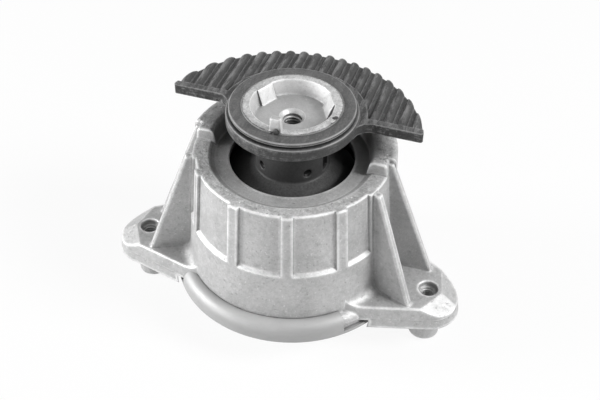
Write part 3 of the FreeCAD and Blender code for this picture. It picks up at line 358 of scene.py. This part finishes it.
# ---------------------------------------------------------------- finishes
class Finish:
    """A node material on Object coordinates, with short names for the nodes that it uses."""

    def __init__(self, name, **settings):
        self.material = bpy.data.materials.new(name)
        self.material.use_nodes = True
        self.tree = self.material.node_tree
        self.shader = self.tree.nodes["Principled BSDF"]
        for socket, value in settings.items():
            self.shader.inputs[socket.replace("_", " ")].default_value = value
        self.place = self.tree.nodes.new("ShaderNodeTexCoord").outputs["Object"]

    def put(self, value, socket):
        """Links value to the socket if it is another node's output, and otherwise sets it there."""
        if hasattr(value, "links"):
            self.tree.links.new(value, socket)
        else:
            socket.default_value = value

    def node(self, kind, *inputs, **settings):
        """A new shader node with its settings, and its inputs given as (socket, value) pairs."""
        made = self.tree.nodes.new("ShaderNode" + kind)
        for key, value in settings.items():
            setattr(made, key, value)
        for socket, value in inputs:
            self.put(value, made.inputs[socket])
        return made

    def noise(self, size, detail=4.0, roughness=0.55, stretch=None):
        """Soft cloudy noise whose features are about size mm across. With stretch, its place is
        scaled by that much along X, Y and Z instead, in turns per metre."""
        place, scale = self.place, 1 / (size * MM)
        if stretch:
            place, scale = self.node("Mapping", ("Vector", place), ("Scale", stretch)).outputs[0], 1.0
        return self.node("TexNoise", ("Vector", place), ("Scale", scale), ("Detail", detail),
                         ("Roughness", roughness)).outputs[0]

    def fit(self, value, low, high, out_low=0.0, out_high=1.0):
        """value taken from low..high to out_low..out_high, and held there outside."""
        ends = (1, low), (2, high), (3, out_low), (4, out_high)
        return self.node("MapRange", (0, value), *ends).outputs[0]

    def swing(self, value, amount):
        """Noise taken from the range that it mostly fills to -amount..amount."""
        return self.fit(value, 0.3, 0.7, -amount, amount)

    def sum(self, *values):
        """All the values added up."""
        total = values[0]
        for value in values[1:]:
            total = self.node("Math", (0, total), (1, value), operation="ADD").outputs[0]
        return total

    def times(self, a, b):
        """a multiplied by b."""
        return self.node("Math", (0, a), (1, b), operation="MULTIPLY").outputs[0]

    def blend(self, share, a, b):
        """The colour a where share is 0, b where it is 1, and their mix between."""
        return self.node("Mix", (0, share), (6, a), (7, b), data_type="RGBA").outputs[2]

    def height(self):
        """Z of the surface, in mm."""
        z = self.node("SeparateXYZ", (0, self.place)).outputs[2]
        return self.times(z, 1 / MM)

    def distance(self):
        """Distance of the surface from the mount's axis, in mm."""
        flat = self.node("VectorMath", (0, self.place), (1, (1.0, 1.0, 0.0)), operation="MULTIPLY")
        length = self.node("VectorMath", (0, flat.outputs[0]), operation="LENGTH").outputs["Value"]
        return self.times(length, 1 / MM)

    def band(self, value, low, high, soft):
        """1 where value lies between low and high, falling to 0 over soft on each side."""
        return self.times(self.fit(value, low - soft, low), self.fit(value, high + soft, high))

    def normal(self, axis):
        """The surface's own direction along X, Y or Z, given as 0, 1 or 2."""
        true = self.node("NewGeometry").outputs["True Normal"]
        return self.node("SeparateXYZ", (0, true)).outputs[axis]

    def facing_up(self):
        """1 on surfaces that face straight up, 0 on upright ones."""
        return self.fit(self.normal(2), 0.5, 0.9)

    def facing_left(self):
        """1 on surfaces that face -X, 0 on those that face +X."""
        return self.fit(self.normal(0), 0.6, -0.6)

    def worn_and_highlit_edges(self, radius, open_above=0.55):
        """How far a normal softened over radius mm leaves the true one: 0 on open faces, near 1 on
        sharp outer edges. Corners more shut in than open_above get none."""
        soft = self.node("Bevel", ("Radius", radius * MM), samples=8).outputs[0]
        true = self.node("NewGeometry").outputs["True Normal"]
        alike = self.node("VectorMath", (0, soft), (1, true), operation="DOT_PRODUCT")
        turned = self.fit(alike.outputs["Value"], 0.9985, 0.93)
        return self.times(turned, self.fit(self.creases(radius * 1.6), open_above, 0.9))

    def creases(self, distance):
        """1 in the open, falling towards 0 in corners narrower than distance mm."""
        return self.node("AmbientOcclusion", ("Distance", distance * MM), samples=8).outputs["AO"]

    def bump(self, height, depth, soften=0.0):
        """Raises the surface by height times depth mm, over edges rounded by soften mm."""
        inputs = [("Height", height), ("Distance", depth * MM), ("Strength", 1.0)]
        if soften:
            rounded_normal = self.node("Bevel", ("Radius", soften * MM), samples=6).outputs[0]
            inputs.append(("Normal", rounded_normal))
        self.put(self.node("Bump", *inputs).outputs[0], self.shader.inputs["Normal"])

    def colour(self, value):
        """Gives the shader its base colour."""
        self.put(value, self.shader.inputs["Base Color"])

    def roughness(self, value):
        """Gives the shader its roughness."""
        self.put(value, self.shader.inputs["Roughness"])


def grey(value):
    """A neutral grey, as a colour."""
    return (value, value, value, 1.0)


def cast_aluminium(name, level=0.5, grain=1.0, metallic=0.4, rough_top=None, parting=None,
                   upright=0.0, bright_edge_width=2.5):
    """As-cast aluminium: mottled satin grey with fine grain, dark pits, smudges and pale flecks; edges
    painted near white over the width in mm given last, partly as abrasion and partly as a painted
    highlight; patchy painted shade, like dirt, in its corners; painted deep shade inside the bell and
    broader painted shade wherever the part closes in. The upward faces between the two heights of
    rough_top are coarser, and upright faces are painted lighter by the share of upright and upward
    faces a little darker, as painted light. A fine line runs round the feet's sides at the height of
    parting."""
    pit_share, smudge_share, fleck_share = 0.4, 0.42, 0.4
    coarser, paler = 1.5, 0.14
    relief_depth, edge_round = 0.3, 1.7

    f = Finish(name, Metallic=metallic)
    clouds = f.noise(14.0, detail=3.0)
    mottle = f.noise(2.4, detail=5.0, roughness=0.65)
    fine = f.noise(0.8, detail=4.0, roughness=0.7)
    pits = f.fit(f.noise(1.2, detail=3.0), 0.36, 0.29)
    specks = f.noise(1.0, detail=2.0, roughness=0.5, stretch=(1100.0, 900.0, 1000.0))
    flecks = f.fit(specks, 0.66, 0.72)
    smudges = f.fit(f.noise(7.0, detail=5.0, roughness=0.7), 0.58, 0.72)

    coarse, share = grain, 0.0
    if rough_top:
        top = f.times(f.band(f.height(), *rough_top, 0.5), f.facing_up())
        coarse = f.sum(grain, f.times(top, coarser))
        share = f.times(top, paler)
    tone = f.sum(f.swing(clouds, 0.12), f.swing(mottle, 0.13), f.swing(fine, 0.13))
    share = f.sum(f.times(tone, coarse), 0.5, share)
    # Painted light: upright faces lighter and upward faces a little darker
    if upright:
        share = f.sum(share, f.fit(f.facing_up(), 0.0, 1.0, upright, -0.1))
    plain = f.blend(share, grey(level * 0.55), grey(level * 1.45))

    dark = f.sum(f.times(f.times(pits, coarse), pit_share), f.times(smudges, smudge_share * grain))
    spotted = f.blend(dark, plain, grey(level * 0.35))
    flecked = f.blend(f.times(f.times(flecks, coarse), fleck_share), spotted, grey(0.9))
    patchy = f.sum(f.fit(mottle, 0.3, 0.6, 0.4, 0.7), f.fit(clouds, 0.4, 0.6, 0.0, 0.4))
    # Edges painted near white: partly abrasion, partly a painted highlight where light catches the
    # rounded edges
    edges = f.times(f.worn_and_highlit_edges(bright_edge_width), patchy)
    abraded_and_highlit = f.blend(edges, flecked, grey(0.92))

    # Painted shade in narrow corners, broken into patches like dirt
    grime_and_shade_patches = f.fit(f.noise(5.0, detail=4.0, roughness=0.7), 0.42, 0.62, 0.05, 0.65)
    corners = f.fit(f.creases(2.0), 0.8, 0.35)
    dirty_and_shaded = f.blend(f.times(corners, grime_and_shade_patches), abraded_and_highlit, grey(level * 0.18))
    # Painted deep shade inside the bell, where the cap overhangs, and broader painted shade wherever
    # the part closes in
    inside = f.fit(f.distance(), SHADE_R + 3.0, SHADE_R)
    bell_shade = f.times(f.fit(f.creases(28.0), 0.65, 0.2, 0.0, 0.85), inside)
    wide_shade = f.fit(f.creases(16.0), 0.85, 0.15, 0.0, 0.36)
    f.colour(f.blend(f.sum(bell_shade, wide_shade), dirty_and_shaded, grey(level * 0.3)))

    f.roughness(f.sum(f.fit(mottle, 0.3, 0.7, 0.42, 0.56), f.times(edges, -0.1)))
    relief = f.sum(f.times(mottle, 0.8), f.times(fine, 0.5), f.times(pits, -0.4))
    relief = f.times(relief, coarse)
    if parting:
        beyond = f.fit(f.distance(), PARTING_START_R, PARTING_START_R + 2.0)
        line = f.band(f.height(), parting - PARTING_HALF, parting + PARTING_HALF, 0.2)
        relief = f.sum(relief, f.times(f.times(line, beyond), 0.7))
    f.bump(relief, relief_depth, edge_round)
    return f.material


def formed_sheet(name, level=0.5):
    """Drawn aluminium sheet: smooth and light, with faint draw marks and small scuffs, and painted
    shade in its narrow corners."""
    scuff_share = 0.3

    f = Finish(name, Metallic=0.35)
    clouds = f.noise(18.0, detail=2.0)
    drawn = f.noise(1.6, detail=4.0, roughness=0.6, stretch=(250.0, 250.0, 1200.0))
    scuffs = f.fit(f.noise(1.2, detail=3.0), 0.64, 0.72)
    share = f.sum(0.5, f.swing(clouds, 0.08), f.swing(drawn, 0.06))
    plain = f.blend(share, grey(level * 0.7), grey(level * 1.3))
    scuffed = f.blend(f.times(scuffs, scuff_share), plain, grey(0.3))
    # Painted shade in narrow corners
    f.colour(f.blend(f.fit(f.creases(4.0), 0.8, 0.25, 0.0, 0.8), scuffed, grey(0.04)))
    f.roughness(f.fit(drawn, 0.3, 0.7, 0.5, 0.6))
    f.bump(drawn, 0.05, 0.3)
    return f.material


def moulded_rubber(name, level=0.035, dust=0.5, soften=0.35, ribs=None, arrises=(), sunk=None):
    """Black rubber from a mould: matt, finely grained, with pale dust that lies in clouds and flecks on
    upward faces. Its edges and round arrises, given as (distance from the axis, height) in mm, are
    lighter, partly from dust and rubbing and partly as a painted highlight. Beyond the first distance
    of ribs from the axis, the dust is streaked; it thins from the height of the crests down to that of
    the troughs, as painted shade in the troughs; flanks that face left are painted lighter and those
    that face right darker, as painted light; and upright sides are blotched. With ribs, upright sides
    also have fine level lines. Between the two distances of sunk the rubber is painted darker inwards,
    as painted shade in holes in a round wall, and below its height it has painted shade. Such a
    deep-set piece also shines less. Narrow corners get painted shade. Thick dust makes the relief
    deeper."""
    dusty_clouds, dusty_streaks, dusty_grain, dusty_flecks = 0.4 * dust, 0.5 * dust, 0.25, 0.45 * dust
    arris_half, soft_out, soft_up = 0.3, 0.35, 0.3
    relief_depth = 0.24 if dust > 0.3 else 0.08
    shine = 0.28 if sunk else 0.5

    f = Finish(name, Specular_IOR_Level=shine)
    clouds = f.noise(9.0, detail=5.0, roughness=0.6)
    streaks = f.noise(1.0, detail=6.0, roughness=0.75, stretch=(420.0, 90.0, 300.0))
    grain = f.noise(0.8, detail=4.0, roughness=0.7)
    flecks = f.fit(f.noise(0.9, detail=2.0), 0.6, 0.68)
    dusty = f.sum(f.times(f.fit(clouds, 0.35, 0.7), dusty_clouds),
                  f.times(f.fit(streaks, 0.42, 0.68), dusty_streaks),
                  f.fit(grain, 0.35, 0.65, 0.0, dusty_grain))
    up = f.facing_up()
    dusty = f.times(dusty, f.fit(up, 0.0, 1.0, 0.3, 1.0))
    patchy = f.fit(clouds, 0.35, 0.65, 0.5, 1.0)
    share = f.sum(dusty, f.times(flecks, dusty_flecks))
    if ribs:
        reach, trough, crest = ribs
        beyond = f.fit(f.distance(), reach, reach + 1.0)
        # Painted shade: less dust towards the troughs, so they are darker than the crests
        low = f.times(beyond, f.fit(f.height(), crest, trough))
        share = f.times(share, f.fit(low, 0.0, 0.8, 1.15, 0.2))
        share = f.sum(share, f.times(beyond, f.fit(streaks, 0.42, 0.6, -0.25, 0.42)))
        # Painted light: flanks that face left lighter, those that face right darker
        side = f.fit(f.facing_left(), 0.0, 1.0, -0.95, 0.95)
        share = f.times(share, f.sum(1.0, f.times(beyond, side)))
        lines = f.noise(1.0, detail=3.0, roughness=0.6, stretch=(40.0, 40.0, 1000.0))
        upright = f.fit(up, 0.5, 0.0)
        lined = f.times(upright, f.fit(lines, 0.4, 0.6, -0.85, 1.1))
        share = f.times(share, f.sum(1.0, lined))

    # Edges and round arrises lighter: partly dust and rubbing, partly a painted highlight
    rubbed_and_highlit = f.times(f.worn_and_highlit_edges(1.0, 0.35), patchy)
    for distance, height in arrises:
        round_it = f.band(f.distance(), distance - arris_half, distance + arris_half, soft_out)
        level_with = f.band(f.height(), height - arris_half, height + arris_half, soft_up)
        rubbed_and_highlit = f.sum(rubbed_and_highlit, f.times(f.times(round_it, level_with), patchy))
    rubber_colour = f.blend(share, grey(level), grey(level * 5 + 0.06))
    rubber_colour = f.blend(f.times(rubbed_and_highlit, 0.8 if ribs else dust), rubber_colour, grey(0.36))
    if ribs:
        spots = f.fit(f.noise(2.2, detail=5.0, roughness=0.7), 0.45, 0.6)
        blotches = f.times(spots, f.fit(up, 0.0, 1.0, 0.85, 0.0))
        rubber_colour = f.blend(f.times(blotches, beyond), rubber_colour, grey(level * 0.3))
    # Painted shade in the pin holes of the sleeve, and below the sleeve's foot
    if sunk:
        inner, outer, foot = sunk
        wall = f.fit(f.height(), foot - 1.0, foot + 1.0)
        hole = f.times(f.fit(f.distance(), outer, inner), wall)
        rubber_colour = f.blend(hole, rubber_colour, grey(level * 0.1))
        rubber_colour = f.blend(f.fit(wall, 0.0, 1.0, 0.3, 0.0), rubber_colour, grey(level * 0.2))
    # Painted shade in narrow corners
    f.colour(f.blend(f.fit(f.creases(3.0), 0.85, 0.35, 0.0, 0.75), rubber_colour, grey(level * 0.2)))

    f.roughness(f.fit(grain, 0.3, 0.7, 0.42, 0.6))
    relief = f.sum(f.times(grain, 0.7), f.times(clouds, 0.3))
    if ribs:
        relief = f.sum(relief, f.times(streaks, 0.8), f.times(f.times(lines, upright), 2.0))
    f.bump(relief, relief_depth, soften)
    return f.material


def plain_steel(name, level=0.42):
    """Rolled and pressed steel with fine scratches round the axis."""
    f = Finish(name, Metallic=0.9)
    scratches = f.noise(0.8, detail=4.0, roughness=0.6, stretch=(300.0, 300.0, 3000.0))
    f.colour(f.blend(scratches, grey(level * 0.75), grey(level * 1.25)))
    f.roughness(f.fit(scratches, 0.3, 0.7, 0.28, 0.42))
    f.bump(scratches, 0.02)
    return f.material


def moulded_plastic(name, level=0.03):
    """Glass-filled black plastic with faint flow marks."""
    f = Finish(name, Specular_IOR_Level=0.5)
    flow = f.noise(3.0, detail=4.0, roughness=0.6, stretch=(300.0, 300.0, 120.0))
    f.colour(f.blend(flow, grey(level * 0.7), grey(level * 1.6)))
    f.roughness(f.fit(flow, 0.3, 0.7, 0.38, 0.52))
    f.bump(flow, 0.03, 0.2)
    return f.material


def dress(piece, material):
    """Gives a piece one material in its only slot."""
    piece.data.materials.clear()
    piece.data.materials.append(material)


# ---------------------------------------------------------------- pieces and their finishes
casting = cast_aluminium("cast_aluminium", 0.46, rough_top=COARSE_TOP, parting=PARTING_Z)
core_casting = cast_aluminium("core_aluminium", 0.52, 0.6, rough_top=CORE_COARSE_TOP, upright=0.32,
                              bright_edge_width=0.8)
sheet = formed_sheet("sheet_aluminium", 0.385)
cap_rubber = moulded_rubber("cap_rubber", 0.026, 0.6, ribs=(RIB_FIELD_R, RIB_TROUGH_Z, RIB_CREST_Z),
                            arrises=CAP_ARRISES)
spring_rubber = moulded_rubber("spring_rubber", 0.035, 0.1, 0.15, sunk=(
    SLEEVE_R - HOLE_DARK_DEPTH, SLEEVE_R - HOLE_DIM_DEPTH, SLEEVE_FOOT_Z))
bellows_rubber = moulded_rubber("bellows_rubber", 0.03, 0.1)
stray_rubber = moulded_rubber("stray_rubber", 0.02, 0.1)
cut_thread = cast_aluminium("cut_thread", 0.7, 0.2, 0.7)

dress(spring(), spring_rubber)
dress(thread("core_thread_turns", "core", "core_thread", CORE_PITCH,
             CORE_THREAD_DEPTH), cut_thread)
for side in ("right", "left"):
    dress(thread("foot_thread_turns_" + side, "frame", "foot_thread_" + side,
                 FOOT_PITCH, FOOT_THREAD_DEPTH), cut_thread)
dress(rim_flash(), cap_rubber)
for spot in RUBBER_SPOTS:
    dress(rubber_spot(*spot), stray_rubber)

for node, material in {
    "housing": casting,
    "core": core_casting,
    "buffer_cap": cap_rubber,
    "spring_outer_ring": plain_steel("ring_steel"),
    "bellows_clamp_ring": plain_steel("clamp_ring_steel", 0.5),
    "upper_channel_plate": moulded_plastic("channel_plastic"),
    "lower_channel_plate": moulded_plastic("lower_channel_plastic", 0.04),
    "decoupler_disc": moulded_rubber("decoupler_rubber", 0.03, 0.1),
    "bellows": bellows_rubber,
    "base_cup": sheet,
}.items():
    dress(nodes[node], material)

# ---------------------------------------------------------------- floor, light and camera
# Floor: half its side, its gap under the part, its colour, and how much of its white is seen. The
# world's strength as light comes last
FLOOR_HALF = 3.0
FLOOR_DROP = 0.0002
FLOOR_GREY = 0.86
FLOOR_WHITE_SHARE = 0.92
AMBIENT = 0.06

# Lamps: name, place, side of the square, power in watts. All point at the part's middle
MIDDLE = (0.0, 0.0, 0.06)
LAMPS = [
    ("left", (-1.1, -0.35, 0.42), 0.4, 14.6),
    ("low_left", (-0.84, -0.84, 0.22), 0.5, 4.1),
    ("right", (0.96, -0.05, 0.82), 0.4, 15.2),
]

CAMERA_PLACE = (0.10681, -0.34043, 0.37417)
CAMERA_AIM = (0.00915, -0.01744, 0.07290)
CAMERA_ROLL = 0.65
LENS = 61.05
SENSOR_WIDTH = 36.0


def floor():
    """A pale floor just under the part. The camera and clear reflections see it almost white, with
    the part's shadow left on it."""
    near, far = -FLOOR_HALF, FLOOR_HALF
    height = cad_low.z - FLOOR_DROP
    corners = [[[near, near, height], [far, near, height]], [[near, far, height], [far, far, height]]]
    piece = surface("floor", np.array(corners), smooth=False)
    f = Finish("pale_floor", Base_Color=grey(FLOOR_GREY), Roughness=0.9, Specular_IOR_Level=0.1)
    rays = f.node("LightPath").outputs
    seen = f.sum(rays["Is Camera Ray"], rays["Is Glossy Ray"], rays["Is Transmission Ray"])
    white = f.node("Emission", ("Color", grey(1.0)), ("Strength", 1.0)).outputs[0]
    share = f.times(f.fit(seen, 0.0, 1.0), FLOOR_WHITE_SHARE)
    both = f.node("MixShader", (0, share), (1, f.shader.outputs[0]), (2, white)).outputs[0]
    f.tree.links.new(both, f.tree.nodes["Material Output"].inputs[0])
    dress(piece, f.material)


def softbox(name, place, size, power):
    """A square area light turned towards the part's middle."""
    lamp = bpy.data.lights.new(name, "AREA")
    lamp.shape = "SQUARE"
    lamp.size = size
    lamp.energy = power
    box = bpy.data.objects.new(name, lamp)
    box.location = place
    box.rotation_euler = (Vector(MIDDLE) - Vector(place)).to_track_quat("-Z", "Y").to_euler()
    bpy.context.scene.collection.objects.link(box)


def surroundings():
    """A world that is white to the camera and in reflections, and dimmer as light."""
    world = bpy.data.worlds.new("studio")
    bpy.context.scene.world = world
    world.use_nodes = True
    tree = world.node_tree
    background = tree.nodes["Background"]
    rays = tree.nodes.new("ShaderNodeLightPath")
    first = tree.nodes.new("ShaderNodeMath")
    second = tree.nodes.new("ShaderNodeMath")
    strength = tree.nodes.new("ShaderNodeMapRange")
    tree.links.new(rays.outputs["Is Camera Ray"], first.inputs[0])
    tree.links.new(rays.outputs["Is Glossy Ray"], first.inputs[1])
    tree.links.new(first.outputs[0], second.inputs[0])
    tree.links.new(rays.outputs["Is Transmission Ray"], second.inputs[1])
    tree.links.new(second.outputs[0], strength.inputs[0])
    strength.inputs[3].default_value = AMBIENT
    strength.inputs[4].default_value = 1.0
    tree.links.new(strength.outputs[0], background.inputs["Strength"])
    background.inputs["Color"].default_value = grey(1.0)


def camera():
    """The camera at its place, turned towards its aim and rolled by a fraction of a degree."""
    view = bpy.data.cameras.new("camera")
    view.lens = LENS
    view.sensor_width = SENSOR_WIDTH
    view.clip_start = 0.01
    eye = bpy.data.objects.new("camera", view)
    toward = Vector(CAMERA_AIM) - Vector(CAMERA_PLACE)
    roll = Matrix.Rotation(math.radians(CAMERA_ROLL), 3, "Z")
    turn = toward.to_track_quat("-Z", "Y").to_matrix() @ roll
    eye.matrix_world = Matrix.Translation(CAMERA_PLACE) @ turn.to_4x4()
    bpy.context.scene.collection.objects.link(eye)
    return eye


floor()
surroundings()
for lamp in LAMPS:
    softbox(*lamp)
bpy.context.scene.camera = camera()
bpy.context.scene.view_settings.view_transform = "Standard"
